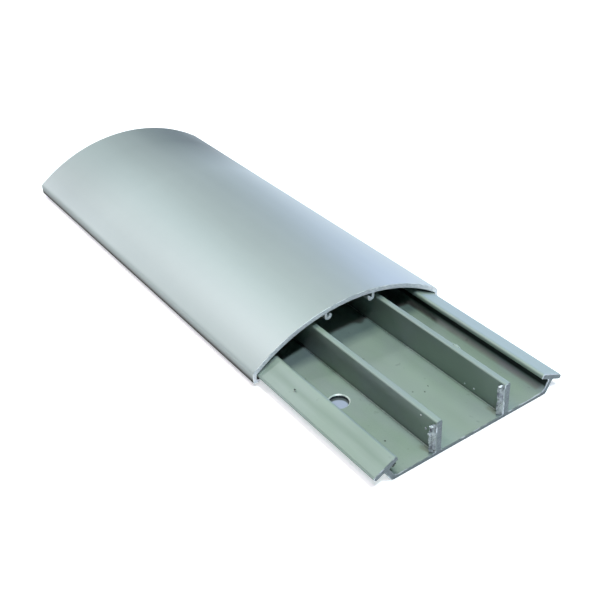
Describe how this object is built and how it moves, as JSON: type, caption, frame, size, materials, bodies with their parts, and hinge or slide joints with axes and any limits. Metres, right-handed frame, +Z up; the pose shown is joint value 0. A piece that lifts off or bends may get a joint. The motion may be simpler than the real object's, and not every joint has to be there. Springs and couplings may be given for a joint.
{
  "type": "cable trunking",
  "caption": "Low arched floor cable trunking: an extruded channel with parallel cable ways between dividers, and an arched clip-on cover set back from one end.",
  "frame": {"origin": "centre of the channel's underside, at mid length", "axes": "+X along the trunking to the end where the channel stands open, +Y across it, +Z up"},
  "size_m": [0.22, 0.075, 0.018],
  "materials": {
    "channel_aluminium": "matte sage-grey anodised, with bare saw-cut ends",
    "cover_aluminium": "satin silver anodised"
  },
  "bodies": {
    "root": {"base_channel": "channel_aluminium", "cover_profile": "cover_aluminium"}
  },
  "joints": []
}
